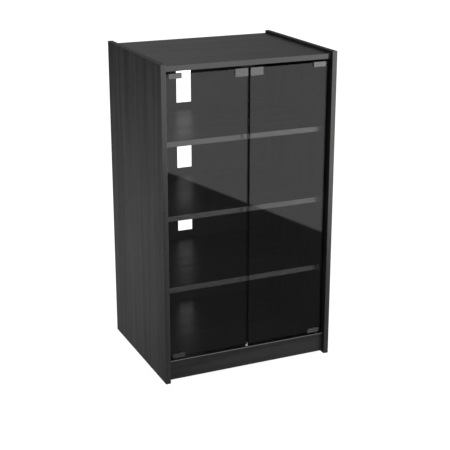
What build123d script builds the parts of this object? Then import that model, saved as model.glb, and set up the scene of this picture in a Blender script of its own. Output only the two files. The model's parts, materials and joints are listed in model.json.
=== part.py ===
from build123d import *
import os

# Media cabinet with two tinted glass doors on pivot hinges and a magnetic touch latch.
# Millimetres. The front faces -Y, +Z is up, and the origin is on the floor, below the centre.

# Carcass
width = 565.0  # over the side panels
depth = 460.0  # side panels, front edge to rear edge
height = 985.0  # floor to the top of the side panels
board = 16.0  # laminated board
lip = 8.0  # side panels above the top panel
panel_setback = 13.0  # top and bottom panels behind the front edges of the sides
plinth_height = 52.0  # floor to the underside of the bottom panel
plinth_setback = 14.0  # plinth behind the front edges of the sides
plinth_floor_gap = 5.0
edge_radius = 0.8  # eased edges of the boards

# Back panel
back_thickness = 3.0
back_recess = 1.0  # back panel ahead of the rear edges
rebate = 8.0  # depth of the rebate in the side panels
back_clearance = 0.5  # back panel short of the rebate's wall
back_top_gap = 1.0  # back panel below the top panel's upper face

# Cable cut-outs, one for each compartment
cut_width = 52.0
cut_height = 125.0
cut_above_bottom = 33.5  # lowest cut-out above the bottom panel
cut_closer = 5.25  # pitch of the cut-outs less than that of the shelves
cut_offset = 29.0  # middle of the cut-outs left of the centre line

# Shelves
shelf_count = 3
shelf_setback = 42.0  # behind the front edges of the sides
shelf_side_gap = 0.8
shelf_back_gap = 2.0

# Shelf pins and the holes that they can move to
pin_radius = 2.5
pin_depth = 9.0  # peg in the side panel
pin_inset = 37.0  # from the front and rear edges of the shelf
pin_hole_pitch = 32.0
pin_tab_length = 9.0
pin_tab_width = 10.0
pin_tab_thickness = 2.5
hole_clearance = 0.05  # radial, round pegs and bolts
hole_end_gap = 0.5  # beyond the end of a peg

# Knock-down fittings
cam_radius = 7.5
cam_skin = 3.5  # board left behind a cam
cam_from_end = 24.0  # cam axis from the end of its board
cam_inset = 60.0  # from the front and rear edges of the board
cam_slot = 2.0
bolt_radius = 3.0
bolt_head_radius = 3.8
bolt_head_length = 4.0
bolt_skin = 6.0  # board left behind a bolt
dowel_radius = 4.0
dowel_length = 30.0
dowel_skin = 5.0  # board left behind a dowel
dowel_from_cam = 42.0
plinth_fixing_spread = 22.0  # dowel below cam at each end of the plinth

# Back panel nails
nail_radius = 0.8
nail_length = 18.0
nail_head_radius = 1.8
nail_head = 0.7
side_nail_count = 8
end_nail_count = 4
nail_end_inset = 40.0

# Glass doors
glass = 4.0
glass_setback = 16.5  # outer face behind the front edges of the sides
door_side_gap = 4.0
door_centre_gap = 3.0
door_top_gap = 8.5
door_bottom_gap = 8.0
glass_corner = 2.5
glass_chamfer = 0.5

# Hinge clips, which grip the outer corners of the glass
clip_width = 40.0
clip_height = 15.0
clip_front = 1.2
clip_back = 2.4
clip_web = 1.6
clip_inset = 10.0  # from the outer edge of the glass
clip_corner = 1.5
clip_bend = 1.0
liner = 0.4
screw_radius = 2.0
screw_spacing = 22.0
screw_proud = 0.8
screw_slot = 0.8

# Pivots
pivot_inset = 15.0  # pivot axis from the outer edge of the glass
pivot_radius = 2.5
shoulder_radius = 4.0
bush_radius = 4.0
bush_depth = 9.0
bush_flange = 1.5
bush_flange_radius = 5.0
running_clearance = 0.05  # radial, pin in bush
seat_clearance = 0.25  # shoulder above or below the flange
pivot_end_gap = 1.0  # pin short of the bush's end

# Strike plates on the inner top corners of the glass
strike_width = 41.0
strike_inset = 2.6  # from the inner edge of the glass
strike_height = 24.0
strike_sheet = 1.0
strike_bend = 0.6

# Touch latch
latch_width = 50.0
latch_depth = 38.0
latch_height = 20.0
latch_flange = 3.5
latch_ear = 13.0
latch_corner = 2.5
latch_screw_radius = 1.7
latch_screw_length = 13.0
latch_screw_head_radius = 3.4
latch_screw_head = 2.0
plunger_spacing = 28.0
plunger_drop = 13.0  # plunger axis below the top panel
plunger_radius = 4.0
plunger_length = 26.0
plunger_head_radius = 6.0
plunger_head = 5.0
plunger_travel = 4.0
plunger_gap = 0.3  # to the strike plate, and to the housing when pressed
magnet_radius = 4.2
magnet_depth = 2.5
magnet_proud = 0.1

# Door stop on the bottom panel
stop_radius = 3.0
stop_height = 12.0
stop_collar_radius = 4.0
stop_collar = 2.0
stop_stem_radius = 2.5
stop_stem = 9.0
stop_rounding = 1.0
stop_gap = 0.3

# Positions that follow from the sizes
SIDES = {"left": -1, "right": 1}
front = -depth / 2
rear = depth / 2
inner = width / 2 - board
top_under = height - lip - board
bottom_over = plinth_height + board
back_face = rear - back_recess - back_thickness
panel_front = front + panel_setback
plinth_front = front + plinth_setback
shelf_front = front + shelf_setback
shelf_rear = back_face - shelf_back_gap
clear_height = (top_under - bottom_over - shelf_count * board) / (shelf_count + 1)
shelf_pitch = clear_height + board
shelf_tops = [bottom_over + (i + 1) * shelf_pitch for i in range(shelf_count)]
cut_pitch = shelf_pitch - cut_closer
cut_lows = [bottom_over + cut_above_bottom + i * cut_pitch for i in range(shelf_count + 1)]
glass_y = front + glass_setback + glass / 2
glass_low = bottom_over + door_bottom_gap
glass_high = top_under - door_top_gap
outer_edge = inner - door_side_gap
inner_edge = door_centre_gap / 2
pivot_x = outer_edge - pivot_inset
strike_back = glass_y + glass / 2 + strike_sheet
stop_y = glass_y + glass / 2 + stop_gap + stop_radius
pivots = [(side * pivot_x, glass_y) for side in SIDES.values()]

cam_depth = board - cam_skin
dowel_in_board = dowel_length - (board - dowel_skin)
pin_rows = [shelf_front + pin_inset, shelf_rear - pin_inset]
pin_heights = [top - board - pin_radius for top in shelf_tops]
cam_rows = [panel_front + cam_inset, back_face - cam_inset]
dowel_rows = [cam_rows[0] + dowel_from_cam, cam_rows[1] - dowel_from_cam]
level_middles = [plinth_height + board / 2, top_under + board / 2]
plinth_middle = plinth_front + board / 2
plinth_centre = (plinth_floor_gap + plinth_height) / 2
plinth_cam_z = plinth_centre + plinth_fixing_spread / 2
plinth_dowel_z = plinth_centre - plinth_fixing_spread / 2

# Each fixing point is (y, z) on the inner faces of the side panels
cam_points = [(y, z) for y in cam_rows for z in level_middles] + [(plinth_middle, plinth_cam_z)]
dowel_points = [(y, z) for y in dowel_rows for z in level_middles]
dowel_points.append((plinth_middle, plinth_dowel_z))
pin_holes = [
    (y, z + step)
    for y in pin_rows
    for z in pin_heights
    for step in (-pin_hole_pitch, 0, pin_hole_pitch)
]

os.makedirs("parts", exist_ok=True)


def keep(piece, label):
    """Label a finished piece and write it."""
    piece.part.label = label
    export_step(piece.part, f"parts/{label}.step")


def inner_face(side):
    """Plane on a side panel's inner face, looking into the cabinet."""
    return Plane(origin=(side * inner, 0, 0), x_dir=(0, 1, 0), z_dir=(-side, 0, 0))


def on_inner_face(side, points):
    """The points (y, z) in the coordinates of that plane."""
    return [(y, -side * z) for y, z in points]


def drill(side, points, radius, into_side, into_board):
    """Cut round holes from the inner face, outwards into the side and inwards into a board."""
    with BuildSketch(inner_face(side)) as holes:
        with Locations(*on_inner_face(side, points)):
            Circle(radius)
    if into_side:
        extrude(holes.sketch, amount=-into_side, mode=Mode.SUBTRACT)
    if into_board:
        extrude(holes.sketch, amount=into_board, mode=Mode.SUBTRACT)


def bore(points, radius, z, amount):
    """Cut round holes from the height z, upwards for a positive amount."""
    with BuildSketch(Plane.XY.offset(z)) as holes:
        with Locations(*points):
            Circle(radius)
    extrude(holes.sketch, amount=amount, mode=Mode.SUBTRACT)


def spread(low, high, count):
    """Evenly spaced values from low to high."""
    return [low + (high - low) * i / (count - 1) for i in range(count)]


# Side panels, with the rebate for the back and the holes for pins, bolts and dowels
for name, side in SIDES.items():
    with BuildPart() as side_panel:
        with BuildSketch():
            with Locations((side * (inner + board / 2), 0)):
                Rectangle(board, depth)
            with Locations((side * (inner + rebate / 2), (rear + back_face) / 2)):
                Rectangle(rebate, rear - back_face, mode=Mode.SUBTRACT)
        extrude(amount=height)
        front_edges = side_panel.edges().filter_by(Axis.Z).group_by(Axis.Y)[0]
        top_edges = side_panel.edges().filter_by(Axis.Y).group_by(Axis.Z)[-1].group_by(Axis.Y)[0]
        top_front = side_panel.edges().filter_by(Axis.X).group_by(Axis.Z)[-1].sort_by(Axis.Y)[0]
        fillet(front_edges + top_edges + [top_front], edge_radius)
        drill(side, pin_holes, pin_radius + hole_clearance, pin_depth + hole_end_gap, 0)
        drill(side, cam_points, bolt_radius + hole_clearance, board - bolt_skin + hole_end_gap, 0)
        drill(side, dowel_points, dowel_radius + hole_clearance, board - dowel_skin + hole_end_gap, 0)
    keep(side_panel, f"{name}_side_panel")


def level_board(z_low):
    """Horizontal board between the sides, drilled at its ends and bored for cams from below."""
    middle = z_low + board / 2
    with BuildPart() as panel:
        with BuildSketch(Plane.XY.offset(z_low)):
            with Locations((0, (panel_front + back_face) / 2)):
                Rectangle(2 * inner, back_face - panel_front)
        extrude(amount=board)
        fillet(panel.edges().filter_by(Axis.X).group_by(Axis.Y)[0], edge_radius)
        for side in SIDES.values():
            cams = [(y, middle) for y in cam_rows]
            dowel_ends = [(y, middle) for y in dowel_rows]
            drill(side, cams, bolt_head_radius + hole_clearance, 0, cam_from_end)
            drill(side, dowel_ends, dowel_radius + hole_clearance, 0, dowel_in_board + hole_end_gap)
        cam_centres = [(s * (inner - cam_from_end), y) for s in SIDES.values() for y in cam_rows]
        bore(cam_centres, cam_radius + hole_clearance, z_low, cam_depth)
    return panel.part


# Top panel, with seats for the upper pivot bushes
with BuildPart() as top_panel:
    add(level_board(top_under))
    bore(pivots, bush_radius + hole_clearance, top_under, bush_depth + hole_end_gap)
keep(top_panel, "top_panel")

# Bottom panel, with seats for the lower pivot bushes and the door stop
with BuildPart() as bottom_panel:
    add(level_board(plinth_height))
    bore(pivots, bush_radius + hole_clearance, bottom_over, -(bush_depth + hole_end_gap))
    bore([(0, stop_y)], stop_stem_radius + hole_clearance, bottom_over, -(stop_stem + hole_end_gap))
keep(bottom_panel, "bottom_panel")

# Plinth, fixed at each end by a cam from behind and a dowel
with BuildPart() as plinth:
    with BuildSketch(Plane.XY.offset(plinth_floor_gap)):
        with Locations((0, plinth_middle)):
            Rectangle(2 * inner, board)
    extrude(amount=plinth_height - plinth_floor_gap)
    fillet(plinth.edges().filter_by(Axis.X).group_by(Axis.Y)[0].sort_by(Axis.Z)[0], edge_radius)
    for side in SIDES.values():
        drill(side, [(plinth_middle, plinth_cam_z)], bolt_head_radius + hole_clearance, 0, cam_from_end)
        dowel_end = [(plinth_middle, plinth_dowel_z)]
        drill(side, dowel_end, dowel_radius + hole_clearance, 0, dowel_in_board + hole_end_gap)
    with BuildSketch(Plane.XZ.offset(-(plinth_front + board))):
        with Locations(*[(s * (inner - cam_from_end), plinth_cam_z) for s in SIDES.values()]):
            Circle(cam_radius + hole_clearance)
    extrude(amount=cam_depth, mode=Mode.SUBTRACT)
keep(plinth, "plinth")

# Back panel with its cable cut-outs
back_low = plinth_height
back_high = top_under + board - back_top_gap
with BuildPart() as back_panel:
    with BuildSketch(Plane.XZ.offset(-back_face)):
        with Locations((0, (back_low + back_high) / 2)):
            Rectangle(2 * (inner + rebate - back_clearance), back_high - back_low)
        with Locations(*[(-cut_offset, low + cut_height / 2) for low in cut_lows]):
            Rectangle(cut_width, cut_height, mode=Mode.SUBTRACT)
    extrude(amount=-back_thickness)
keep(back_panel, "back_panel")

# Shelves, which lie on their pins
for name, top in zip(("lower", "middle", "upper"), shelf_tops):
    with BuildPart() as shelf:
        with BuildSketch(Plane.XY.offset(top - board)):
            with Locations((0, (shelf_front + shelf_rear) / 2)):
                Rectangle(2 * (inner - shelf_side_gap), shelf_rear - shelf_front)
        extrude(amount=board)
        fillet(shelf.edges().filter_by(Axis.X).group_by(Axis.Y)[0], edge_radius)
    keep(shelf, f"{name}_shelf")

# Shelf pins: a peg in the side panel and a flat tab under the shelf
with BuildPart() as shelf_pins:
    for side in SIDES.values():
        pegs = on_inner_face(side, [(y, z) for y in pin_rows for z in pin_heights])
        with BuildSketch(inner_face(side)) as peg_ends:
            with Locations(*pegs):
                Circle(pin_radius)
        extrude(peg_ends.sketch, amount=-pin_depth)
        extrude(peg_ends.sketch, amount=pin_tab_length)
        for y in pin_rows:
            for z in pin_heights:
                tab_x = side * (inner - pin_tab_length / 2)
                with Locations((tab_x, y, z + pin_radius - pin_tab_thickness / 2)):
                    Box(pin_tab_length, pin_tab_width, pin_tab_thickness)
keep(shelf_pins, "shelf_pins")

# Cam locks: each holds the head of a bolt, and has a cross slot on its open face
cam_places = []
for side in SIDES.values():
    cam_x = side * (inner - cam_from_end)
    for y in cam_rows:
        for z in (plinth_height, top_under):
            cam_places.append(Plane(origin=(cam_x, y, z), x_dir=(side, 0, 0), z_dir=(0, 0, 1)))
    plinth_rear = (cam_x, plinth_front + board, plinth_cam_z)
    cam_places.append(Plane(origin=plinth_rear, x_dir=(side, 0, 0), z_dir=(0, -1, 0)))
with BuildPart() as cam_locks:
    for place in cam_places:
        with BuildSketch(place):
            Circle(cam_radius)
        extrude(amount=cam_depth)
        with BuildSketch(place):
            Rectangle(2 * cam_radius - 2 * cam_slot, cam_slot)
            Rectangle(cam_slot, 2 * cam_radius - 2 * cam_slot)
        extrude(amount=cam_slot, mode=Mode.SUBTRACT)
        bolt_way = Plane(origin=place.from_local_coords((0, 0, board / 2)), z_dir=place.x_dir)
        with BuildSketch(bolt_way.offset(-bolt_head_length)):
            Circle(bolt_head_radius + hole_clearance)
        extrude(amount=cam_radius + bolt_head_length, mode=Mode.SUBTRACT)
keep(cam_locks, "cam_locks")

# Cam bolts: a shank in the side panel and a head inside the cam
with BuildPart() as cam_bolts:
    for side in SIDES.values():
        with BuildSketch(inner_face(side)) as shanks:
            with Locations(*on_inner_face(side, cam_points)):
                Circle(bolt_radius)
        extrude(shanks.sketch, amount=-(board - bolt_skin))
        extrude(shanks.sketch, amount=cam_from_end)
        with BuildSketch(inner_face(side).offset(cam_from_end - bolt_head_length / 2)):
            with Locations(*on_inner_face(side, cam_points)):
                Circle(bolt_head_radius)
        extrude(amount=bolt_head_length)
keep(cam_bolts, "cam_bolts")

# Dowels across the board joints
with BuildPart() as dowels:
    for side in SIDES.values():
        with BuildSketch(inner_face(side).offset(-(board - dowel_skin))):
            with Locations(*on_inner_face(side, dowel_points)):
                Circle(dowel_radius)
        extrude(amount=dowel_length)
keep(dowels, "dowels")

# Nails through the back panel into the rear edges of the carcass
nail_z = spread(back_low + nail_end_inset, back_high - nail_end_inset, side_nail_count)
nail_x = spread(nail_end_inset - inner, inner - nail_end_inset, end_nail_count)
nail_points = [(side * (inner + rebate / 2), z) for side in SIDES.values() for z in nail_z]
nail_points += [(x, z) for x in nail_x for z in level_middles]
nail_face = Plane.XZ.offset(-(back_face + back_thickness))
with BuildPart() as back_nails:
    with BuildSketch(nail_face):
        with Locations(*nail_points):
            Circle(nail_head_radius)
    extrude(amount=-nail_head)
    with BuildSketch(nail_face):
        with Locations(*nail_points):
            Circle(nail_radius)
    extrude(amount=nail_length)
keep(back_nails, "back_nails")

# Pivot bushes in the top and bottom panels
with BuildPart() as pivot_bushes:
    for face, outward in ((top_under, -1), (bottom_over, 1)):
        with BuildSketch(Plane.XY.offset(face)):
            with Locations(*pivots):
                Circle(bush_radius)
        extrude(amount=-outward * bush_depth)
        with BuildSketch(Plane.XY.offset(face)):
            with Locations(*pivots):
                Circle(bush_flange_radius)
        extrude(amount=outward * bush_flange)
        bore_length = bush_flange + bush_depth
        bore(pivots, pivot_radius + running_clearance, face + outward * bush_flange, -outward * bore_length)
keep(pivot_bushes, "pivot_bushes")

# Door stop behind the gap between the doors
with BuildPart() as door_stop:
    with BuildSketch(Plane.XZ.offset(-stop_y)):
        with BuildLine():
            Polyline(
                (0, bottom_over - stop_stem),
                (stop_stem_radius, bottom_over - stop_stem),
                (stop_stem_radius, bottom_over),
                (stop_collar_radius, bottom_over),
                (stop_collar_radius, bottom_over + stop_collar),
                (stop_radius, bottom_over + stop_collar),
                (stop_radius, bottom_over + stop_height),
                (0, bottom_over + stop_height),
                close=True,
            )
        make_face()
    revolve(axis=Axis((0, stop_y, 0), (0, 0, 1)))
    fillet(door_stop.edges().group_by(Axis.Z)[-1], stop_rounding)
keep(door_stop, "door_stop")


def channel(end, edge, low_y, high_y, slot_low, slot_high, over, slot_over, leaf):
    """Section of a U-shaped clip over a glass edge, in the YZ plane.

    end is 1 on the top edge and -1 on the bottom edge. over and slot_over are the heights of the
    clip and of its slot beyond the edge, and leaf is the length of its leaves from the outside.
    """
    with BuildSketch(Plane.YZ) as section:
        with Locations(((low_y + high_y) / 2, edge + end * (over - leaf / 2))):
            Rectangle(high_y - low_y, leaf)
        slot = leaf - over + slot_over
        with Locations(((slot_low + slot_high) / 2, edge + end * (slot_over - slot / 2))):
            Rectangle(slot_high - slot_low, slot, mode=Mode.SUBTRACT)
    return section.sketch


glass_front = glass_y - glass / 2
glass_rear = glass_y + glass / 2
clip_middle = outer_edge - clip_inset - clip_width / 2
ENDS = {"top": (1, glass_high, top_under), "bottom": (-1, glass_low, bottom_over)}


def leaf_screws(side, end, edge):
    """Plane on the back leaf's inner face, with the places of the two set screws."""
    face = Plane.XZ.offset(-(glass_rear + liner))
    z = edge + end * (liner + clip_web - clip_height / 2)
    return face, [(side * clip_middle + x, z) for x in (-screw_spacing / 2, screw_spacing / 2)]


def hinge_clip(side, end, edge):
    """Clip over a glass edge, with a hole for the pivot and two for the set screws."""
    with BuildPart() as clip:
        section = channel(
            end,
            edge,
            glass_front - liner - clip_front,
            glass_rear + liner + clip_back,
            glass_front - liner,
            glass_rear + liner,
            liner + clip_web,
            liner,
            clip_height,
        )
        extrude(section.moved(Location((side * clip_middle - clip_width / 2, 0, 0))), amount=clip_width)
        bends = clip.edges().filter_by(Axis.X).group_by(Axis.Z)[-1 if end > 0 else 0]
        fillet(bends, clip_bend)
        corners = clip.edges().filter_by(Axis.Y).group_by(Axis.Z)[0 if end > 0 else -1]
        fillet(corners, clip_corner)
        bore([(side * pivot_x, glass_y)], pivot_radius, edge, end * (liner + clip_web))
        face, places = leaf_screws(side, end, edge)
        with BuildSketch(face):
            with Locations(*places):
                Circle(screw_radius + hole_clearance)
        extrude(amount=-clip_back, mode=Mode.SUBTRACT)
    return clip


def pivot_profile(side, end, edge, face):
    """Half section of a pivot pin: a stub in the clip, a shoulder, and the pin in its bush."""
    stub = edge + end * liner
    shoulder_low = stub + end * clip_web
    shoulder_high = face - end * (bush_flange + seat_clearance)
    tip = face + end * (bush_depth - pivot_end_gap)
    with BuildSketch(Plane.XZ.offset(-glass_y)) as half:
        with BuildLine():
            Polyline(
                (side * pivot_x, stub),
                (side * pivot_x + pivot_radius, stub),
                (side * pivot_x + pivot_radius, shoulder_low),
                (side * pivot_x + shoulder_radius, shoulder_low),
                (side * pivot_x + shoulder_radius, shoulder_high),
                (side * pivot_x + pivot_radius, shoulder_high),
                (side * pivot_x + pivot_radius, tip),
                (side * pivot_x, tip),
                close=True,
            )
        make_face()
    return half.sketch


for name, side in SIDES.items():
    # Glass pane with ground edges
    with BuildPart() as door_glass:
        with BuildSketch(Plane.XZ.offset(-glass_front)):
            with Locations((side * (inner_edge + outer_edge) / 2, (glass_low + glass_high) / 2)):
                RectangleRounded(outer_edge - inner_edge, glass_high - glass_low, glass_corner)
        extrude(amount=-glass)
        rims = door_glass.faces().filter_by(Axis.Y).edges()
        chamfer(rims, glass_chamfer)
    keep(door_glass, f"{name}_door_glass")

    # Hinge clips on the top and bottom edges
    for place, (end, edge, face) in ENDS.items():
        keep(hinge_clip(side, end, edge), f"{name}_{place}_hinge_clip")

    # Pivot pins, riveted into the clips
    with BuildPart() as pivot_pins:
        for end, edge, face in ENDS.values():
            half = pivot_profile(side, end, edge, face)
            revolve(half, axis=Axis((side * pivot_x, glass_y, 0), (0, 0, 1)))
    keep(pivot_pins, f"{name}_pivot_pins")

    # Soft liners between the clips and the glass
    with BuildPart() as clip_liners:
        for end, edge, face in ENDS.values():
            section = channel(
                end,
                edge,
                glass_front - liner,
                glass_rear + liner,
                glass_front,
                glass_rear,
                liner,
                0,
                clip_height - clip_web,
            )
            extrude(section.moved(Location((side * clip_middle - clip_width / 2, 0, 0))), amount=clip_width)
    keep(clip_liners, f"{name}_clip_liners")

    # Set screws in the back leaves of the clips
    with BuildPart() as clip_screws:
        for end, edge, face in ENDS.values():
            leaf_face, places = leaf_screws(side, end, edge)
            with BuildSketch(leaf_face):
                with Locations(*places):
                    Circle(screw_radius)
            extrude(amount=-(clip_back + screw_proud))
            with BuildSketch(leaf_face.offset(-(clip_back + screw_proud))):
                with Locations(*places):
                    Rectangle(2 * screw_radius, screw_slot)
            extrude(amount=screw_slot, mode=Mode.SUBTRACT)
    keep(clip_screws, f"{name}_clip_screws")

    # Strike plate, clipped over the inner top corner of the glass
    with BuildPart() as strike_plate:
        section = channel(
            1,
            glass_high,
            glass_front - strike_sheet,
            glass_rear + strike_sheet,
            glass_front,
            glass_rear,
            strike_sheet,
            0,
            strike_height,
        )
        strike_middle = side * (inner_edge + strike_inset + strike_width / 2)
        extrude(section.moved(Location((strike_middle - strike_width / 2, 0, 0))), amount=strike_width)
        fillet(strike_plate.edges().filter_by(Axis.X).group_by(Axis.Z)[-1], strike_bend)
    keep(strike_plate, f"{name}_strike_plate")

# Touch latch: a housing under the top panel, with two sprung plungers
plunger_face = strike_back + plunger_gap
head_front = plunger_face + magnet_proud
head_back = head_front + plunger_head
latch_front = head_back + plunger_travel + plunger_gap
plunger_z = top_under - plunger_drop
plunger_points = [(side * plunger_spacing / 2, plunger_z) for side in SIDES.values()]
ear_middle = latch_width / 2 + latch_ear / 2
ear_points = [(side * ear_middle, latch_front + latch_depth / 2) for side in SIDES.values()]
with BuildPart() as latch_housing:
    with BuildSketch(Plane.XZ.offset(-latch_front)):
        with Locations((0, top_under - latch_height / 2)):
            Rectangle(latch_width, latch_height)
    extrude(amount=-latch_depth)
    fillet(latch_housing.edges().filter_by(Axis.Y).group_by(Axis.Z)[0], latch_corner)
    fillet(latch_housing.edges().filter_by(Axis.Z), latch_corner)
    with BuildSketch(Plane.XY.offset(top_under)):
        with Locations((0, latch_front + latch_depth / 2)):
            RectangleRounded(latch_width + 2 * latch_ear, latch_depth, latch_corner)
    extrude(amount=-latch_flange)
    with BuildSketch(Plane.XZ.offset(-latch_front)):
        with Locations(*plunger_points):
            Circle(plunger_radius + running_clearance)
    extrude(amount=-(plunger_length - plunger_gap + hole_end_gap), mode=Mode.SUBTRACT)
    bore(ear_points, latch_screw_radius + hole_clearance, top_under, -latch_flange)
keep(latch_housing, "latch_housing")

# Wood screws through the ears of the housing
with BuildPart() as latch_screws:
    with BuildSketch(Plane.XY.offset(top_under - latch_flange)):
        with Locations(*ear_points):
            Circle(latch_screw_radius)
    extrude(amount=latch_screw_length)
    with BuildSketch(Plane.XY.offset(top_under - latch_flange)):
        with Locations(*ear_points):
            Circle(latch_screw_head_radius)
    extrude(amount=-latch_screw_head)
    with BuildSketch(Plane.XY.offset(top_under - latch_flange - latch_screw_head)):
        with Locations(*ear_points):
            Rectangle(latch_screw_head_radius, screw_slot)
            Rectangle(screw_slot, latch_screw_head_radius)
    extrude(amount=screw_slot, mode=Mode.SUBTRACT)
keep(latch_screws, "latch_screws")

for (name, side), point in zip(SIDES.items(), plunger_points):
    # Plunger: a head with a pocket for the magnet, and a stem in the housing
    with BuildPart() as plunger:
        with BuildSketch(Plane.XZ.offset(-head_front)):
            with Locations(point):
                Circle(plunger_head_radius)
        extrude(amount=-plunger_head)
        chamfer(plunger.edges().group_by(Axis.Y)[0], glass_chamfer)
        with BuildSketch(Plane.XZ.offset(-head_back)):
            with Locations(point):
                Circle(plunger_radius)
        extrude(amount=-plunger_length)
        with BuildSketch(Plane.XZ.offset(-head_front)):
            with Locations(point):
                Circle(magnet_radius)
        extrude(amount=-(magnet_depth - magnet_proud), mode=Mode.SUBTRACT)
    keep(plunger, f"{name}_latch_plunger")

    # Disc magnet, a little proud of the head
    with BuildPart() as magnet:
        with BuildSketch(Plane.XZ.offset(-plunger_face)):
            with Locations(point):
                Circle(magnet_radius - hole_clearance)
        extrude(amount=-magnet_depth)
    keep(magnet, f"{name}_latch_magnet")
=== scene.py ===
# %% [markdown]
# # A black media cabinet with smoked glass doors
#
# The cabinet is a carcass of black woodgrain boards, closed by two frameless glass doors that turn
# on pivots. Every board, pane, clip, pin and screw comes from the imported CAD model, at its real size
# and in its real place, so nothing is fitted here. This lesson gives each surface its finish, adds
# the thin strips that close the cut edges of the boards, and sets up a white studio.

import json
import math

import bpy
import numpy as np
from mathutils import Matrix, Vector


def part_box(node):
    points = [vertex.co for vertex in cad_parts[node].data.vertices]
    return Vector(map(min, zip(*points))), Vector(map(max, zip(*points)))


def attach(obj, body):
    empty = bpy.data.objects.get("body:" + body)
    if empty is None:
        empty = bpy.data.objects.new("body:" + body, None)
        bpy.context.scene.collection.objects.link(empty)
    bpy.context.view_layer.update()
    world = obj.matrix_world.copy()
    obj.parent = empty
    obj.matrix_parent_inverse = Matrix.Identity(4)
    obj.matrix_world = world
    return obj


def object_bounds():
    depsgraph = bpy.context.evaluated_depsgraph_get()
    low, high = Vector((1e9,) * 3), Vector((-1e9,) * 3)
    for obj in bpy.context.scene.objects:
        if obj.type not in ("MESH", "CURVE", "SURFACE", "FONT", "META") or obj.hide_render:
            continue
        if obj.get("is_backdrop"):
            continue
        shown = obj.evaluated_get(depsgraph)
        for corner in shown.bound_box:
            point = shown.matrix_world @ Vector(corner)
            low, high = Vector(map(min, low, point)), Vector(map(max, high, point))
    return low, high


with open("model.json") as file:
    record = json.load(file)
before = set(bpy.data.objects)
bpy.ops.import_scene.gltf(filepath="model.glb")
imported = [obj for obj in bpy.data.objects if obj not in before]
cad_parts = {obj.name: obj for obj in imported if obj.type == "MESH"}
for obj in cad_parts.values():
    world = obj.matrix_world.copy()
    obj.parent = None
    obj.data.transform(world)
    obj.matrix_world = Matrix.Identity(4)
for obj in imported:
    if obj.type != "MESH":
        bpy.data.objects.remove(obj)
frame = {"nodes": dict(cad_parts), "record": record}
nodes = frame["nodes"]
cad_low, cad_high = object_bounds()
print("CAD box:", [round(v, 4) for v in (*cad_low, *cad_high)])

# %% [markdown]
# ## Camera
#
# The photograph looks at the front left corner from above. A long lens from three and a half metres
# away keeps the upright edges close to parallel, as a product photographer would have them. The
# place, the turn and the tilt are fitted to the corners of the cabinet in the photograph, whose real
# distances the CAD box gives.

# %% Camera
LENS = 88.6  # focal length, in millimetres
SENSOR = 36.0
CAMERA_PLACE = np.array((-1.370, -3.100, 1.540))
CAMERA_TURN = 24.12  # degrees to the right of straight ahead
CAMERA_TILT = 18.49  # degrees down


def add_camera():
    """A camera that looks straight ahead along +Y, then is tilted down and turned to the right."""
    data = bpy.data.cameras.new("camera")
    data.lens = LENS
    data.sensor_width = SENSOR
    made = bpy.data.objects.new("camera", data)
    made.location = CAMERA_PLACE
    made.rotation_euler = (math.radians(90 - CAMERA_TILT), 0, math.radians(-CAMERA_TURN))
    bpy.context.scene.collection.objects.link(made)
    bpy.context.scene.camera = made
    return made


camera = add_camera()
print("camera at", [round(v, 3) for v in camera.location])

# %% [markdown]
# ## Finishes as sums
#
# A procedural material is arithmetic on a point of the surface. Wiring it by hand hides the
# arithmetic, so two small classes write it as Python instead. A Wire is one output of a node, and a
# sum of wires adds the Math nodes that work it out. A Finish is the node tree that they are in.

# %% Wires
class Wire:
    """One output of a node, which can stand in sums with numbers and other wires."""

    def __init__(self, finish, socket):
        self.finish = finish
        self.socket = socket

    def out(self, name):
        """Another output of the same node, by its name or its number."""
        return Wire(self.finish, self.socket.node.outputs[name])

    def maths(self, operation, first, second):
        """A Math node on two values."""
        return self.finish.node("ShaderNodeMath", {"operation": operation}, {0: first, 1: second})

    def __add__(self, other):
        return self.maths("ADD", self, other)

    def __sub__(self, other):
        return self.maths("SUBTRACT", self, other)

    def __rsub__(self, other):
        return self.maths("SUBTRACT", other, self)

    def __mul__(self, other):
        return self.maths("MULTIPLY", self, other)

    def __pow__(self, power):
        return self.maths("POWER", self, power)

    __radd__ = __add__
    __rmul__ = __mul__

    def ramp(self, start, end):
        """0 up to start, 1 from end on, and a smooth rise between them."""
        settings = {"interpolation_type": "SMOOTHSTEP"}
        sockets = {"Value": self, "From Min": start, "From Max": end}
        return self.finish.node("ShaderNodeMapRange", settings, sockets)


print("wires: sums, products, powers and ramps")

# %% Finishes
NOISE_ROUGHNESS = 0.6  # how strongly the finer lumps of a noise show
MOST_NOISE = (0.3, 0.7)  # the range that most of a noise lies in


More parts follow.
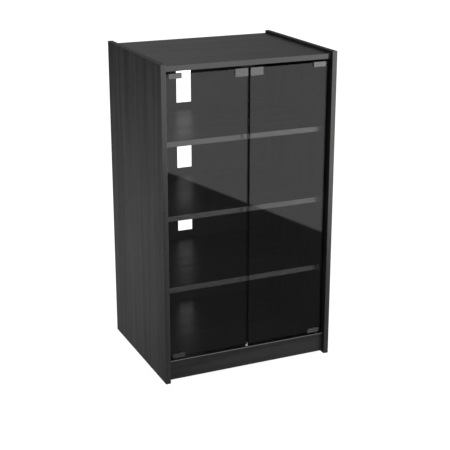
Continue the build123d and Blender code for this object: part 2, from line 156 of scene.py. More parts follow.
class Finish:
    """A node tree that is filled from sums: a material's, or the world's."""

    def __init__(self, tree):
        self.tree = tree
        tree.nodes.clear()

    def node(self, kind, settings=None, sockets=None):
        """A new node: its settings first, then a value or a wire for each named socket."""
        made = self.tree.nodes.new(kind)
        for name, value in (settings or {}).items():
            setattr(made, name, value)
        for name, value in (sockets or {}).items():
            if isinstance(value, Wire):
                self.tree.links.new(value.socket, made.inputs[name])
            else:
                made.inputs[name].default_value = value
        return Wire(self, made.outputs[0]) if made.outputs else None

    def point(self):
        """The point of the surface, in metres, in the cabinet's frame at rest."""
        return self.node("ShaderNodeTexCoord").out("Object")

    def vector(self, operation, *vectors):
        """A Vector Math node on one or two vectors."""
        sockets = dict(enumerate(vectors))
        return self.node("ShaderNodeVectorMath", {"operation": operation}, sockets)

    def axes(self, vector):
        """The three numbers of a vector, each as a wire."""
        split = self.node("ShaderNodeSeparateXYZ", None, {"Vector": vector})
        return [split.out(axis) for axis in range(3)]

    def noise(self, point, size, detail=3.0, shift=0.0):
        """Noise from 0 to 1 with lumps that are size metres long on each axis."""
        sockets = {"Vector": point, "Scale": [1 / s for s in size], "Location": (shift,) * 3}
        stretched = self.node("ShaderNodeMapping", None, sockets)
        sockets = {"Vector": stretched, "Scale": 1.0, "Detail": detail, "Roughness": NOISE_ROUGHNESS}
        return self.node("ShaderNodeTexNoise", None, sockets)

    def blend(self, share, first, second):
        """A colour between two colours: 6 and 7 are a Mix node's sockets for them, and 2 the result."""
        made = self.node("ShaderNodeMix", {"data_type": "RGBA"}, {0: share, 6: first, 7: second})
        return made.out(2)

    def bump(self, height, depth):
        """The normal of a relief of that depth, in metres."""
        return self.node("ShaderNodeBump", None, {"Height": height, "Distance": depth})

    def mix(self, share, first, second):
        """One shader laid over another."""
        return self.node("ShaderNodeMixShader", None, {0: share, 1: first, 2: second})

    def principled(self, **sockets):
        """The main shader, with underscores for the spaces in its sockets' names."""
        named = {name.replace("_", " "): value for name, value in sockets.items()}
        return self.node("ShaderNodeBsdfPrincipled", None, named)

    def close(self, shader):
        """Wire the finished shader to the surface."""
        self.node("ShaderNodeOutputMaterial", None, {"Surface": shader})


print("finishes: one method adds any node")


# %% Materials
def new_finish(name):
    """An empty material and its finish."""
    material = bpy.data.materials.new(name)
    material.use_nodes = True
    return material, Finish(material.node_tree)


def colour(red, green, blue):
    """A colour as the nodes take it, with its alpha."""
    return (red, green, blue, 1.0)


def dress(node, material):
    """Give a CAD node's object its only material."""
    nodes[node].data.materials.clear()
    nodes[node].data.materials.append(material)


print("nodes to dress:", len(nodes))

# %% [markdown]
# ## Black woodgrain boards
#
# The boards are chipboard under a printed black laminate. Close up it has long soft streaks, and
# fine pores pressed into the paper. Both are noise that is stretched along the grain: upright on
# the side panels, and along the width on the level boards. An image would show the same board
# everywhere, so the noise is shifted on each board instead. The arrises are a little paler: partly
# worn by rubbing where hands and dusters pass, partly a painted highlight along the eased edges. On
# the side panels the streaks are also glossier than the dark between them, and the face that looks
# into the cabinet is painted nearly black as painted shade. The level boards have fainter streaks,
# and the bottom panel has a painted highlight, a pale line, along its upper front edge.

# %% Grain of the boards
STREAK = (0.040, 0.90)  # across and along the grain, in metres
PORE = (0.0009, 0.034)
STREAK_RANGE = (0.32, 0.68)
PORE_RANGE = (0.56, 0.72)
X_GRAIN, Z_GRAIN = 0, 2


def along_grain(size, grain):
    """Lump sizes for noise: the second size along the grain's axis, the first on the others."""
    lumps = [size[0]] * 3
    lumps[grain] = size[1]
    return lumps


def woodgrain(finish, point, grain, shift):
    """The streaks and the pores of the laminate, each from 0 to 1."""
    streaks = finish.noise(point, along_grain(STREAK, grain), shift=shift)
    pores = finish.noise(point, along_grain(PORE, grain), detail=2.0, shift=shift)
    return streaks.ramp(*STREAK_RANGE), pores.ramp(*PORE_RANGE)


print("streaks in mm:", [round(1000 * size) for size in STREAK])

# %% Edges and faces of the boards
ARRIS = 0.0011  # how far in an edge is worn paler and given a painted highlight
SILL_HIGHLIGHT_FOOT = 1.5 * ARRIS  # how far down the painted highlight on the bottom panel's front edge fades out
INNER_SHADE_SKIN = 0.0004


def reach(finish, point, low, high):
    """How far a point lies from the middle of a box along each axis, and half the box's sizes."""
    low, high = np.array(low), np.array(high)
    offset = finish.vector("SUBTRACT", point, (low + high) / 2)
    return finish.axes(finish.vector("ABSOLUTE", offset)), (high - low) / 2


def arris(finish, point, low, high):
    """1 on the edges of a box, fading to 0 a little way in: where two of its faces are both near."""
    away, half = reach(finish, point, low, high)
    x, y, z = [away[axis].ramp(half[axis] - ARRIS, half[axis]) for axis in range(3)]
    return x * y + y * z + x * z


def inner_shade_mask(finish, point, name):
    """Mask of painted shade: 1 on the face of a side panel that looks into the cabinet, 0 on its other
    faces.
    """
    low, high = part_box(name)
    inner_face = min(abs(low[0]), abs(high[0]))
    x = finish.axes(finish.vector("ABSOLUTE", point))[0]
    return 1 - x.ramp(inner_face, inner_face + INNER_SHADE_SKIN)


def painted_sill_highlight(finish, point, name):
    """Mask of a painted highlight: 1 on the upper front edge of a board, fading to 0 a little way in
    and down.
    """
    low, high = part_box(name)
    y, z = finish.axes(point)[1:]
    front = 1 - y.ramp(low[1], low[1] + ARRIS)
    return front * z.ramp(high[2] - SILL_HIGHLIGHT_FOOT, high[2] - ARRIS)


print("rubbed edges in mm:", 1000 * ARRIS)

# %% Laminate
UPRIGHT = ("left_side_panel", "right_side_panel")
LEVEL = ("top_panel", "bottom_panel", "plinth", "lower_shelf", "middle_shelf", "upper_shelf")
BLACK, CHARCOAL = colour(0.0075, 0.0073, 0.0072), colour(0.0215, 0.0211, 0.0208)
LEVEL_BLACK, LEVEL_CHARCOAL = colour(0.0085, 0.0082, 0.0083), colour(0.0170, 0.0164, 0.0166)
# Paler colour of the arrises: partly wear from rubbing, partly a painted highlight along the eased
# edges
RUBBED_AND_HIGHLIT = colour(0.085, 0.084, 0.083)
# Pale line on the bottom panel's upper front edge: a painted highlight
PAINTED_SILL_HIGHLIGHT = colour(0.20, 0.198, 0.195)
# Painted shade: the faces of the side panels that look into the cabinet are made nearly black
INNER_SHADE = colour(0.004, 0.004, 0.004)
WEAR, WEAR_RANGE = (0.02,) * 3, (0.35, 0.6)
SMUDGE = (0.12,) * 3
PORE_SHARE, RUB_AND_HIGHLIGHT_SHARE = 0.5, 0.5  # how much of their colour the pores and the edges show; the edges' colour is wear and painted highlight
STREAK_HEIGHT, PORE_DEPTH = 0.4, 0.00006  # a streak's height is a share of a pore's depth
SMOOTH = 0.24  # roughness where the laminate is smoothest
STREAK_DULL, PORE_DULL, SMUDGE_DULL, INNER_SHADE_DULL = 0.10, 0.10, 0.08, 0.25  # added to it
VARNISH, VARNISH_ROUGHNESS = 0.35, 0.25  # the most that a streak is glossier than the dark between
BOARD_SHIFT = 3.7  # moves the grain from board to board


def laminate(name, grain, shift):
    """Black woodgrain laminate for the board of that name."""
    material, finish = new_finish(name + "_laminate")
    point = finish.point()
    dark, pale = (BLACK, CHARCOAL) if name in UPRIGHT else (LEVEL_BLACK, LEVEL_CHARCOAL)
    streaks, pores = woodgrain(finish, point, grain, shift)
    wear = finish.noise(point, WEAR, detail=4.0).ramp(*WEAR_RANGE)
    # Paler arrises, broken up by the wear noise: wear from rubbing and a painted highlight
    rubbed_and_highlit = arris(finish, point, *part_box(name)) * wear
    smudge = finish.noise(point, SMUDGE, shift=shift)
    face = finish.blend(streaks, dark, pale)
    face = finish.blend(pores * PORE_SHARE, face, dark)
    face = finish.blend(rubbed_and_highlit * RUB_AND_HIGHLIGHT_SHARE, face, RUBBED_AND_HIGHLIT)
    relief = streaks * STREAK_HEIGHT - pores
    roughness = SMOOTH + STREAK_DULL * streaks + PORE_DULL * pores + SMUDGE_DULL * smudge
    varnish = 0.0
    # A painted highlight: a pale line along the bottom panel's upper front edge
    if name == "bottom_panel":
        face = finish.blend(painted_sill_highlight(finish, point, name), face, PAINTED_SILL_HIGHLIGHT)
    # The inner faces of the side panels are painted nearly black, as painted shade, and are rougher and
    # plain
    if name in UPRIGHT:
        inner_shade = inner_shade_mask(finish, point, name)
        face = finish.blend(inner_shade, face, INNER_SHADE)
        relief = relief * (1 - inner_shade)
        roughness = roughness + INNER_SHADE_DULL * inner_shade
        varnish = VARNISH * streaks * (1 - inner_shade)
    shader = finish.principled(
        Base_Color=face,
        Roughness=roughness,
        Coat_Weight=varnish,
        Coat_Roughness=VARNISH_ROUGHNESS,
        Normal=finish.bump(relief, PORE_DEPTH),
    )
    finish.close(shader)
    return material


boards = [(name, Z_GRAIN) for name in UPRIGHT] + [(name, X_GRAIN) for name in LEVEL]
for number, (name, grain) in enumerate(boards):
    dress(name, laminate(name, grain, BOARD_SHIFT * number))
print("boards:", len(boards))

# %% [markdown]
# ## Edge bands
#
# The cut edges of chipboard are closed with thin plastic strips, ironed on and trimmed. A side panel
# has one up its front edge and one along its top, and the top panel and the shelves have one in
# front. A strip could be a bevelled box, but it has to wrap the eased edge of its board, so it is a
# surface of two parameters instead: one goes round its section, the other along its length. The
# section is worked out once and carried along any straight edge.

# %% Section and sweep
BAND_PROUD = 0.00012  # over the eased edge of the board
BAND_BURIED = 0.0004  # inside the board
EASED = 0.0008  # radius of the boards' eased edges
ARC_STEPS = 6


def band_section(width):
    """Closed section of a band: (across, outward) points round its outer face and back inside.

    The outer face is a line with a quarter round at each end, of the eased radius and the proud
    height together. The inner face is a straight line inside the board.
    """
    radius = EASED + BAND_PROUD
    turn = np.linspace(0, math.pi / 2, ARC_STEPS + 1)
    edge = width / 2 - EASED
    right = np.stack([edge + radius * np.cos(turn), radius * np.sin(turn) - EASED], axis=1)
    left = right[::-1] * (-1, 1)
    inside = np.array([(-edge, -EASED - BAND_BURIED), (edge, -EASED - BAND_BURIED)])
    return np.concatenate([right, left, inside])


def sweep(section, ends, outward):
    """Carry a section along a straight line: end + across * first + outward * second, as one grid.

    Across is at right angles to the outward direction and to the line, on the side that makes the
    faces point outwards.
    """
    ends, outward = np.array(ends, float), np.array(outward, float)
    along = ends[1] - ends[0]
    across = np.cross(outward, along / np.linalg.norm(along))
    return ends[:, None] + section[None, :, :1] * across + section[None, :, 1:] * outward


def lengths(points):
    """Distance travelled along a line of points, up to each of them."""
    steps = np.linalg.norm(np.diff(points, axis=0), axis=1)
    return np.concatenate([[0.0], np.cumsum(steps)])


print("points round a band:", len(band_section(2 * EASED)))


# %% Mesh of a band
def skin(name, grid, travel, round_trip):
    """Mesh of a closed tube with flat ends, with a UV map in metres along and across it."""
    rows, columns = grid.shape[:2]
    index = np.arange(rows * columns).reshape(rows, columns)
    after = np.roll(index, -1, axis=1)
    walls = np.stack([index[:-1], after[:-1], after[1:], index[1:]], axis=-1).reshape(-1, 4)
    faces = walls.tolist() + [index[0, ::-1].tolist(), index[-1].tolist()]
    mesh = bpy.data.meshes.new(name)
    mesh.from_pydata(grid.reshape(-1, 3).tolist(), [], faces)
    place = np.stack(np.broadcast_arrays(travel[:, None], round_trip[None, :]), axis=-1)
    corners = np.zeros(len(mesh.loops), np.int32)
    mesh.loops.foreach_get("vertex_index", corners)
    layer = mesh.uv_layers.new(name="along")
    layer.data.foreach_set("uv", place.reshape(-1, 2)[corners].astype(np.float32).ravel())
    made = bpy.data.objects.new(name, mesh)
    bpy.context.scene.collection.objects.link(made)
    return made


print("faces of a band:", len(band_section(2 * EASED)) + 2)

# %% [markdown]
# ## Finish of the bands
#
# The strips carry a fainter print of the same grain, along their own length, so they read the UV map
# that was made with them. Those on the front edges are glossy, the top panel has greyer ones, and the
# shelves' strips are paler still: that paleness is painted light, for the light that their edges
# catch behind the glass. The strips along the top of the sides are matt. A high index of refraction
# makes the shelves' strips mirror the room more than plain plastic would.

# %% Strips
EDGE_PRINT = colour(0.012, 0.0118, 0.0116), colour(0.018, 0.0177, 0.0175)
FACE_PRINT = colour(0.026, 0.0256, 0.0252), colour(0.033, 0.0325, 0.032)
# Paler than the other strips: painted light, for the light that the shelves' edges catch behind the
# glass
SHELF_PRINT_PAINTED_LIGHT = colour(0.044, 0.0434, 0.0428), colour(0.056, 0.0553, 0.0546)
PRINT_DULL, PIT_DULL = 0.04, 0.06  # roughness that the streaks and the pores add
PRINT_HEIGHT, PIT_DEPTH = 0.2, 0.3  # as shares of a board's pore
MATT_SHINE = 0.3  # specular level of a strip without gloss
COAT_DULL = 0.02  # roughness of the gloss over that of the strip


def band_finish(name, tones, roughness, gloss, index, shift):
    """Plastic strip with a printed grain along its own length, from its UV map."""
    material, finish = new_finish(name)
    along = finish.node("ShaderNodeUVMap", {"uv_map": "along"})
    streaks, pores = woodgrain(finish, along, X_GRAIN, shift)
    shader = finish.principled(
        Base_Color=finish.blend(streaks, *tones),
        Roughness=roughness + PRINT_DULL * streaks + PIT_DULL * pores,
        IOR=index,
        Specular_IOR_Level=MATT_SHINE + (1 - MATT_SHINE) * gloss,
        Coat_Weight=gloss,
        Coat_Roughness=roughness + COAT_DULL,
        Normal=finish.bump(streaks * PRINT_HEIGHT - pores * PIT_DEPTH, PORE_DEPTH),
    )
    finish.close(shader)
    return material


edge_band = band_finish("edge_band", EDGE_PRINT, roughness=0.15, gloss=1.0, index=1.5, shift=1.9)
top_band = band_finish("top_band", EDGE_PRINT, roughness=0.45, gloss=0.0, index=1.5, shift=7.1)
face_band = band_finish("face_band", FACE_PRINT, roughness=0.15, gloss=1.0, index=1.5, shift=5.2)
# The shelves' strips get the paler print, which is painted light
shelf_band = band_finish("shelf_band", SHELF_PRINT_PAINTED_LIGHT, roughness=0.13, gloss=1.0, index=1.95, shift=4.3)
print("strips:", [strip.name for strip in (edge_band, top_band, face_band, shelf_band)])

# %% Bands on the boards
BANDED = ("top_panel", "lower_shelf", "middle_shelf", "upper_shelf")
BAND_END_GAP = 0.00005
FORWARD, UPWARD = (0, -1, 0), (0, 0, 1)


def add_band(name, ends, outward, width, strip):
    """A band of the given strip along a board's edge, riding with the carcass."""
    section = band_section(width)
    made = skin(name, sweep(section, ends, outward), lengths(ends), lengths(section))
    made.data.materials.append(strip)
    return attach(made, "cabinet")


bands = []
for name in UPRIGHT:
    low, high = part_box(name)
    x, width = (low[0] + high[0]) / 2, high[0] - low[0]
    front = ((x, low[1], low[2]), (x, low[1], high[2] + BAND_PROUD))
    top = ((x, low[1] + BAND_END_GAP, high[2]), (x, high[1], high[2]))
    bands.append(add_band(name + "_front_band", front, FORWARD, width, edge_band))
    bands.append(add_band(name + "_top_band", top, UPWARD, width, top_band))
for name in BANDED:
    low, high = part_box(name)
    z, width = (low[2] + high[2]) / 2, high[2] - low[2]
    front = ((low[0] + BAND_END_GAP, low[1], z), (high[0] - BAND_END_GAP, low[1], z))
    strip = face_band if name == "top_panel" else shelf_band
    bands.append(add_band(name + "_band", front, FORWARD, width, strip))
print("edge bands:", len(bands), "faces:", sum(len(band.data.polygons) for band in bands))

# %% [markdown]
# ## Hardboard back
#
# The back is a sheet of hardboard. Its inner face is covered with plain black paper, and its outer
# face, towards the wall, is the bare pressed board: brown, felted and flecked. One material covers
# both, and the depth of a point tells them apart.

# %% Back panel
PAPER, PAPER_WORN = colour(0.008, 0.008, 0.008), colour(0.012, 0.0118, 0.0116)
FIBRE_DARK, FIBRE_PALE = colour(0.085, 0.045, 0.024), colour(0.185, 0.108, 0.058)
BARE_SKIN = 0.0006  # depth of the bare board on the outer face
FELT = (0.0035, 0.0035, 0.0022)
CLOUD = (0.16, 0.16, 0.22)
FLECK, FLECK_RANGE, FLECK_SHARE = (0.0011, 0.0011, 0.0024), (0.62, 0.74), 0.55
FELT_SHARE = 0.7  # of the brown, the clouds make the rest
WORN_RANGE = (0.35, 0.8)
PAPER_ROUGHNESS, BARE_DULL, FELT_DULL = 0.45, 0.3, 0.12
FELT_DEPTH, PAPER_RELIEF = 0.0002, 0.04  # the paper lets a little of the felt show


def hardboard():
    """Black paper in front, bare flecked board behind."""
    material, finish = new_finish("hardboard")
    point = finish.point()
    outer_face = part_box("back_panel")[1][1]
    bare = finish.axes(point)[1].ramp(outer_face - BARE_SKIN, outer_face - BARE_SKIN / 2)
    felt = finish.noise(point, FELT, detail=6.0)
    cloud = finish.noise(point, CLOUD, shift=5.0)
    flecks = finish.noise(point, FLECK, detail=1.0, shift=9.0).ramp(*FLECK_RANGE)
    tone = felt.ramp(*MOST_NOISE) * FELT_SHARE + cloud.ramp(*MOST_NOISE) * (1 - FELT_SHARE)
    brown = finish.blend(tone, FIBRE_DARK, FIBRE_PALE)
    brown = finish.blend(flecks * FLECK_SHARE, brown, FIBRE_DARK)
    paper = finish.blend(cloud.ramp(*WORN_RANGE), PAPER, PAPER_WORN)
    relief = felt * (PAPER_RELIEF + (1 - PAPER_RELIEF) * bare)
    shader = finish.principled(
        Base_Color=finish.blend(bare, paper, brown),
        Roughness=PAPER_ROUGHNESS + BARE_DULL * bare + FELT_DULL * felt,
        Normal=finish.bump(relief, FELT_DEPTH),
    )
    finish.close(shader)
    return material


dress("back_panel", hardboard())
print("back panel dressed")

# %% [markdown]
# ## Smoked glass
#
# The panes are thin tinted glass. A shader that bends light would need many samples to let light
# through, and thin flat glass hardly bends anything, so each face is two shaders instead: a clear
# tint, and a mirror that takes over towards a grazing view. The mirror's share follows the usual
# curve: about 5% head on, rising with the fifth power of one minus the cosine of the angle. The tint
# is darker to the eye than to the light that goes in, so that the shelves stay visible. The edges
# are ground and nearly black, and a narrow strip where the two panes meet is also painted nearly
# black, as painted shade of the gap between the doors. Faint smears lie where a hand pushes the
# doors.

# %% Edges and smears of a pane
RIM = 0.0006
MEETING_SHADE = 0.0026  # painted shade: width of the dark strip where the two panes meet, for the gap between them
PUSH_RADIUS = 0.16
SMEAR, SMEAR_RANGE = (0.012, 0.012, 0.03), (0.5, 0.75)


def ground_edge_and_gap_shade(finish, point, low, high):
    """1 on the ground edges of a pane and on the strip of painted shade where it meets the other, 0 on
    its faces.
    """
    away, half = reach(finish, point, low, high)
    rim_x, rim_z = [away[axis].ramp(half[axis] - RIM, half[axis] - RIM / 2) for axis in (0, 2)]
    inner = min((low[0], high[0]), key=abs)
    across = finish.axes(point)[0] * np.sign(inner)
    meeting_shade = 1 - across.ramp(abs(inner) + MEETING_SHADE / 2, abs(inner) + MEETING_SHADE)
    return 1 - (1 - rim_x) * (1 - rim_z) * (1 - meeting_shade)


def smears(finish, point, corner):
    """Smears from 0 to 1, thickest at the corner where a hand pushes the door."""
    away = finish.vector("DISTANCE", point, corner).out("Value")
    wiped = finish.noise(point, SMEAR, detail=4.0).ramp(*SMEAR_RANGE)
    return wiped * (1 - away.ramp(PUSH_RADIUS / 3, PUSH_RADIUS))


print("pushed within mm:", round(1000 * PUSH_RADIUS))

# %% Glass
HEAD_ON = 0.048
SMOKE = colour(0.750, 0.750, 0.751)  # what one face passes to the eye
PASSED = colour(0.970, 0.970, 0.971)  # what one face passes to the light inside
SILVER = colour(1.0, 1.0, 1.0)
POLISH, SMEAR_DULL = 0.012, 0.10  # roughness of the mirror, and what a smear adds to it
# Nearly black: the ground edges of the panes, and painted shade on the strip where the panes meet
GROUND_AND_GAP_SHADE = colour(0.004, 0.005, 0.005)
SCRATCH, SCRATCH_DEPTH = (0.0004, 0.0004, 0.02), 0.00005
GROUND_ROUGHNESS, SCRATCH_DULL, GROUND_SHINE = 0.45, 0.25, 0.05


def smoked_glass(name):
    """Tinted pane with a mirror finish, ground edges and faint smears."""
    material, finish = new_finish(name + "_smoke")
    point = finish.point()
    low, high = (np.array(corner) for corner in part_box(name))
    facing = finish.node("ShaderNodeLayerWeight", None, {"Blend": 0.5}).out("Facing")
    share = HEAD_ON + (1 - HEAD_ON) * facing**5  # facing is one minus the cosine
    pushed = smears(finish, point, np.array((min((low[0], high[0]), key=abs), low[1], high[2])))
    smoke = finish.node("ShaderNodeBsdfTransparent", None, {"Color": SMOKE})
    passed = finish.node("ShaderNodeBsdfTransparent", None, {"Color": PASSED})
    seen = finish.node("ShaderNodeLightPath").out("Is Camera Ray")
    clear = finish.mix(seen, passed, smoke)
    mirror = finish.principled(
        Base_Color=SILVER, Metallic=1.0, Roughness=POLISH + SMEAR_DULL * pushed
    )
    scratches = finish.noise(point, SCRATCH, detail=2.0)
    # This shader covers the ground edges and the painted shade where the panes meet
    ground = finish.principled(
        Base_Color=GROUND_AND_GAP_SHADE,
        Roughness=GROUND_ROUGHNESS + SCRATCH_DULL * scratches,
        Specular_IOR_Level=GROUND_SHINE,
        Normal=finish.bump(scratches, SCRATCH_DEPTH),
    )
    # Ground edges, and painted shade of the gap where the panes meet
    edge = ground_edge_and_gap_shade(finish, point, low, high)
    finish.close(finish.mix(edge, finish.mix(share, clear, mirror), ground))
    return material


PANES = ("left_door_glass", "right_door_glass")
for name in PANES:
    dress(name, smoked_glass(name))
print("panes dressed:", len(PANES))

# %% [markdown]
# ## Metal, nylon and rubber fittings
#
# The hinge clips and strike plates are satin grey metal, with faint brush lines along the width. The
# pivot pins are black steel, the screws, shelf pins, bolts and nails are zinc plated, and the cams
# are rough die castings. The bushes, the door stop and the latch are moulded, and the liners are
# rubber. These finishes differ in a few numbers only, so two functions make them, one for metal and
# one for moulded parts. The dowels are beech, and hidden in the boards.

# %% Metal and moulded finishes
PATCH, CLOUDED = (0.009,) * 3, (0.02,) * 3
GRAIN_DULL, PATCH_DULL, TEXTURE_DULL = 0.16, 0.08, 0.15  # added to the roughness


def metal(name, dark, pale, roughness, lumps, depth):
    """Metal with grain of the given lump sizes, in its colour, its gloss and its relief."""
    material, finish = new_finish(name)
    point = finish.point()
    grain = finish.noise(point, lumps, detail=4.0)
    patches = finish.noise(point, PATCH, shift=2.0)
    shader = finish.principled(
        Base_Color=finish.blend(grain.ramp(*MOST_NOISE), colour(*dark), colour(*pale)),
        Metallic=1.0,
        Roughness=roughness + GRAIN_DULL * grain + PATCH_DULL * patches,
        Normal=finish.bump(grain, depth),
    )
    finish.close(shader)
    return material


def moulded(name, dark, pale, roughness, lump, depth):
    """Plastic or rubber with a spark-eroded texture and slight clouding."""
    material, finish = new_finish(name)
    point = finish.point()
    texture = finish.noise(point, (lump,) * 3)
    cloud = finish.noise(point, CLOUDED, detail=2.0, shift=4.0)
    shader = finish.principled(
        Base_Color=finish.blend(cloud.ramp(*MOST_NOISE), colour(*dark), colour(*pale)),
        Roughness=roughness + TEXTURE_DULL * texture,
        Normal=finish.bump(texture, depth),
    )
    finish.close(shader)
    return material


print("roughness added by grain:", GRAIN_DULL)

# %% Beech
BEECH_DARK, BEECH_PALE = colour(0.42, 0.25, 0.12), colour(0.60, 0.41, 0.23)
BEECH_FLECK, BEECH_FLECK_SHARE = colour(0.24, 0.12, 0.05), 0.6
BEECH_RAY, BEECH_RAY_RANGE = (0.003, 0.0004, 0.0004), (0.6, 0.72)  # they show as flecks
FIBRE, FIBRE_DEPTH = (0.012, 0.0008, 0.0008), 0.0001
BEECH_ROUGHNESS, FIBRE_DULL = 0.5, 0.2


def beech():
    """Turned beech: pale, with short flecks along the length."""
    material, finish = new_finish("beech")
    point = finish.point()
    fibres = finish.noise(point, FIBRE, detail=4.0)
    flecks = finish.noise(point, BEECH_RAY, detail=1.0, shift=6.0).ramp(*BEECH_RAY_RANGE)
    wood = finish.blend(fibres.ramp(*MOST_NOISE), BEECH_DARK, BEECH_PALE)
    shader = finish.principled(
        Base_Color=finish.blend(flecks * BEECH_FLECK_SHARE, wood, BEECH_FLECK),
        Roughness=BEECH_ROUGHNESS + FIBRE_DULL * fibres,
        Normal=finish.bump(fibres, FIBRE_DEPTH),
    )
    finish.close(shader)
    return material


dowel_wood = beech()
print("beech:", dowel_wood.name)

# %% Give the fittings their finishes
BRUSHED = (0.03, 0.0005, 0.0005)
FINE = (0.0012,) * 3
METALS = {  # slot: name, darker and paler colour, roughness, lumps and depth of the grain
    "grey_metal": ("satin_grey", (0.21, 0.21, 0.214), (0.27, 0.27, 0.274), 0.12, BRUSHED, 2e-5),
    "black_steel": ("black_oxide", (0.012, 0.012, 0.012), (0.02, 0.02, 0.02), 0.40, FINE, 2e-5),
    "zinc_steel": ("zinc_plate", (0.48, 0.48, 0.49), (0.63, 0.63, 0.62), 0.22, FINE, 2e-5),
    "die_cast_zinc": ("die_casting", (0.33, 0.34, 0.35), (0.47, 0.48, 0.49), 0.38, FINE, 8e-5),
    "magnet": ("magnet", (0.10, 0.10, 0.105), (0.17, 0.17, 0.175), 0.40, FINE, 5e-5),
}
MOULDINGS = {  # slot: name, darker and paler grey, roughness, lump and depth of the texture
    "nylon": ("black_nylon", (0.018,) * 3, (0.030,) * 3, 0.42, 0.0009, 3e-5),
    "pale_nylon": ("pale_nylon", (0.62, 0.62, 0.60), (0.74, 0.74, 0.72), 0.38, 0.0009, 3e-5),
    "latch_plastic": ("latch_plastic", (0.016,) * 3, (0.026,) * 3, 0.40, 0.0007, 4e-5),
    "liner": ("soft_liner", (0.020,) * 3, (0.034,) * 3, 0.70, 0.0006, 4e-5),
}
finishes = {slot: metal(*values) for slot, values in METALS.items()}
finishes.update({slot: moulded(*values) for slot, values in MOULDINGS.items()})
finishes["dowel_wood"] = dowel_wood

fittings = [part for part in frame["record"]["subparts"] if part["material_slot"] in finishes]
for part in fittings:
    dress(part["node"], finishes[part["material_slot"]])
print("fittings dressed:", len(fittings))

# %% [markdown]
# ## White floor
#
# The cabinet stands on white paper that runs on into a white background. The floor is a large plane
# that glows a little by itself, so that it stays white up to the cabinet's feet. It glows slightly
# more to the eye than to the cabinet, and glossy surfaces don't see it at all: what they mirror is
# made in a later step.

# %% Floor
FLOOR_HALF = 30.0
FLOOR_GREY, FLOOR_GLOW = colour(0.2, 0.2, 0.2), 0.82
PURE_WHITE, PURE_BLACK = colour(1, 1, 1), colour(0, 0, 0)
WHITE = 1.10  # of the floor and the air, as the eye sees them


def add_stage_sheet(name, corners, material):
    """One flat face of the stage, which is no part of the cabinet."""
    mesh = bpy.data.meshes.new(name)
    mesh.from_pydata(corners, [], [(0, 1, 2, 3)])
    mesh.materials.append(material)
    made = bpy.data.objects.new(name, mesh)
    bpy.context.scene.collection.objects.link(made)
    made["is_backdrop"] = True
    return made


def white_paper():
    """White paper that glows, and a little more to the eye."""
    material, finish = new_finish("floor_white")
    paper = finish.principled(
        Base_Color=FLOOR_GREY,
        Roughness=1.0,
        Specular_IOR_Level=0.0,
        Emission_Color=PURE_WHITE,
        Emission_Strength=FLOOR_GLOW,
    )
    glow = finish.node("ShaderNodeEmission", None, {"Strength": WHITE - 1})
    lit = finish.node("ShaderNodeAddShader", None, {0: paper, 1: glow})
    seen = finish.node("ShaderNodeLightPath").out("Is Camera Ray")
    finish.close(finish.mix(seen, paper, lit))
    return material


around = np.array(((-1, -1), (1, -1), (1, 1), (-1, 1))) * FLOOR_HALF
around = np.insert(around, 2, cad_low[2], axis=1)
floor = add_stage_sheet("floor", around.tolist(), white_paper())
floor.visible_glossy = False
print("floor at", cad_low[2])

# %% [markdown]
# ## White behind the cut-outs
#
# The white background shows through the cable cut-outs, also behind the dark glass, and the shelves
# mirror it in soft upright columns. The background alone would come out grey behind the glass, so two
# cards help at each cut-out. One stands behind the cabinet, and only the eye sees it. The other lies
# against the back panel down to the shelf, and only glossy surfaces see it. Both get dim towards
# their foot, and are clear from behind.

# %% Cards
CARD_BEHIND = 0.006  # behind the cabinet
CARD_MARGIN = 0.012  # past the cut-out on each side
CARD_FADE = 0.035  # height over which a card gets bright
CARD_WHITE = 2.4  # to the eye, so that it stays white behind smoked glass
CARD_GLOW = 0.53  # to glossy surfaces
GLOW_AHEAD = 0.001  # in front of the back panel
RAYS = ("camera", "glossy", "diffuse", "transmission", "volume_scatter", "shadow")


def add_card(name, low, high, y, glow, ray):
    """An upright card at the depth y that one kind of ray sees."""
    material, finish = new_finish(name + "_white")
    height = finish.axes(finish.point())[2].ramp(low[2], low[2] + CARD_FADE)
    shade = finish.blend(height, PURE_BLACK, PURE_WHITE)
    front = finish.node("ShaderNodeEmission", None, {"Color": shade, "Strength": glow})
    behind = finish.node("ShaderNodeNewGeometry").out("Backfacing")
    finish.close(finish.mix(behind, front, finish.node("ShaderNodeBsdfTransparent")))
    foot = [(low[0], y, low[2]), (high[0], y, low[2])]
    head = [(high[0], y, high[2]), (low[0], y, high[2])]
    made = add_stage_sheet(name, foot + head, material)
    for other in RAYS:
        setattr(made, "visible_" + other, other == ray)
    return made


openings = {o["name"]: np.array(o["box_m"]) for o in frame["record"]["physics"]["openings"]}
outside = cad_high[1] + CARD_BEHIND
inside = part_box("back_panel")[0][1] - GLOW_AHEAD
margin = np.array((CARD_MARGIN, 0, CARD_MARGIN + CARD_FADE))
cut_outs = [name for name in openings if name.endswith("cable_cut_out")]
for name in cut_outs:
    low, high = openings[name]
    board_top = openings[name.replace("cable_cut_out", "compartment")][0][2]
    add_card(name + "_card", low - margin, high + margin, outside, CARD_WHITE, "camera")
    add_card(name + "_glow", (low[0], low[1], board_top), high, inside, CARD_GLOW, "glossy")
print("cut-outs with cards:", len(cut_outs))

# %% [markdown]
# ## The room in the mirror
#
# Black laminate and glass show little colour of their own: what the eye reads is the room that they
# mirror. The air is white, for the eye and for soft light, but glossy surfaces see a separate, darker
# room. In front it has a bright wall above a slanted line, a dark foreground below it, and a window
# to the right. Behind it has a dim wall under a paler sky, and a low panel to the left, which the
# side of the cabinet mirrors. The slanted line is laid out on the doors themselves, as two heights,
# and turned into a plane through the mirrored camera.

# %% Slanted line
LINE_LEFT, LINE_RIGHT = 0.670, 0.411  # heights at the outer edges of the doors
LINE_SOFT = 0.001


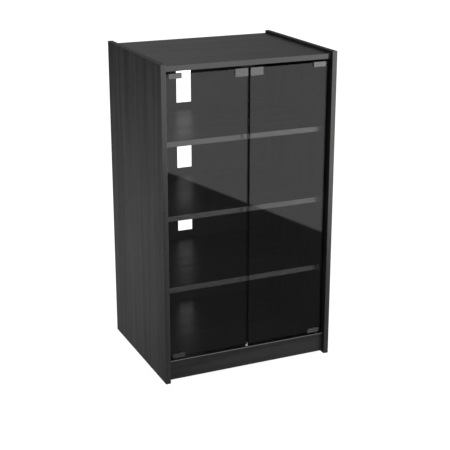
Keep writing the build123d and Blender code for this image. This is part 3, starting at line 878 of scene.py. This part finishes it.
def line_normal():
    """Normal of the plane through the mirrored camera and the slanted line, on the bright side.

    It is the cross product of the two rays from the camera to the ends of the line, mirrored in the
    doors.
    """
    left, right = (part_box(name) for name in PANES)
    ends = np.array(((left[0][0], left[0][1], LINE_LEFT), (right[1][0], right[0][1], LINE_RIGHT)))
    rays = (ends - CAMERA_PLACE) * (1, -1, 1)
    normal = np.cross(rays[0], rays[1])
    return normal / np.linalg.norm(normal) * np.sign(normal[2])


print("normal of the slanted line's plane:", line_normal().round(3).tolist())

# %% Walls of the room
# A pair is a soft edge: two directions between which something comes in or fades out, each as a
# share of the ray's length.
FRONT_WALL, FOREGROUND = 0.70, 0.105
WINDOW = 1.9
WINDOW_LEFT, WINDOW_RIGHT = (0.49, 0.60), (0.70, 0.78)
WINDOW_SILL, WINDOW_HEAD = (-0.375, -0.295), (-0.04, 0.04)
BACK_WALL, BACK_FOOT = 0.215, (-0.1, 0.1)
BACK_SKY, SKY_FOOT = 0.2, (0.18, 0.5)
BACK_DIM, DIM_LEFT = 0.4, (0.3, 0.55)  # the right of the back is dimmer
LOW_PANEL, PANEL_RIGHT = 0.30, (0.0, 0.2)
PANEL_FOOT, PANEL_HEAD = (-0.55, -0.33), (-0.31, -0.08)
FRONT_STARTS = (-0.1, 0.2)


def front_of_room(side, up, over):
    """What a ray towards the front meets: the bright wall, the foreground and the window."""
    right = side.ramp(*WINDOW_LEFT)
    low = 1 - up.ramp(*WINDOW_SILL)
    bright = over.ramp(-LINE_SOFT, LINE_SOFT) * (1 - right * low)
    pane = right * (1 - low) * (1 - up.ramp(*WINDOW_HEAD)) * (1 - side.ramp(*WINDOW_RIGHT))
    return FOREGROUND * (1 - bright) + FRONT_WALL * bright + WINDOW * pane


def back_of_room(side, up):
    """What a ray towards the back meets: the dim wall, the sky and the low panel."""
    panel = up.ramp(*PANEL_FOOT) * (1 - up.ramp(*PANEL_HEAD)) * (0 - side).ramp(*PANEL_RIGHT)
    far = BACK_WALL * up.ramp(*BACK_FOOT) + BACK_SKY * up.ramp(*SKY_FOOT)
    return LOW_PANEL * panel + far * (1 - BACK_DIM * side.ramp(*DIM_LEFT))


print("brightest and darkest in front:", WINDOW, FOREGROUND)


# %% World
def studio():
    """A white world, with a darker room in the mirror of glossy surfaces."""
    world = bpy.data.worlds.new("studio")
    world.use_nodes = True
    world.cycles.sampling_method = "NONE"  # white all round, so its light needs no map
    bpy.context.scene.world = world
    room = Finish(world.node_tree)
    ray = room.node("ShaderNodeTexCoord").out("Generated")
    side, ahead, up = room.axes(ray)
    over = room.vector("DOT_PRODUCT", ray, line_normal()).out("Value")
    front = (0 - ahead).ramp(*FRONT_STARTS)
    mirrored = front_of_room(side, up, over) * front + back_of_room(side, up) * (1 - front)
    seen = room.node("ShaderNodeLightPath")
    white = 1.0 + (WHITE - 1) * seen.out("Is Camera Ray")
    level = white + (mirrored - white) * seen.out("Is Glossy Ray")
    shine = room.node("ShaderNodeBackground", None, {"Color": PURE_WHITE, "Strength": level})
    room.node("ShaderNodeOutputWorld", None, {"Surface": shine})
    return world


world = studio()
print("world:", world.name, "nodes:", len(world.node_tree.nodes))

# %% [markdown]
# ## Lamp
#
# One weak soft box at the right front gives the boards a little more light than the white air alone.
# Glossy surfaces don't see it, because it would show as a white square on the glass and the top. The
# plain view transform keeps the white of the background white.

# %% Lamp
LAMP_PLACE, LAMP_TARGET = np.array((1.1, -1.5, 1.5)), np.array((0.1, -0.2, 0.8))
LAMP_SIZE, LAMP_POWER = 0.5, 3.0  # metres and watts


def add_lamp():
    """A square soft box that hangs facing down, then is tilted up and turned to face its target."""
    data = bpy.data.lights.new("key", "AREA")
    data.size = LAMP_SIZE
    data.energy = LAMP_POWER
    made = bpy.data.objects.new("key", data)
    made.location = LAMP_PLACE
    x, y, z = LAMP_TARGET - LAMP_PLACE
    made.rotation_euler = (math.atan2(math.hypot(x, y), -z), 0, -math.atan2(x, y))
    made.visible_glossy = False
    bpy.context.scene.collection.objects.link(made)
    return made


lamp = add_lamp()
bpy.context.scene.view_settings.view_transform = "Standard"
print("lamp:", lamp.name, "watts:", lamp.data.energy)

# %% [markdown]
# ## Visual box
#
# The last step prints the box of the dressed model, to set beside the CAD box printed at the start.

# %% Finish
low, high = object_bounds()
print("visual box:", [round(v, 4) for v in (*low, *high)])
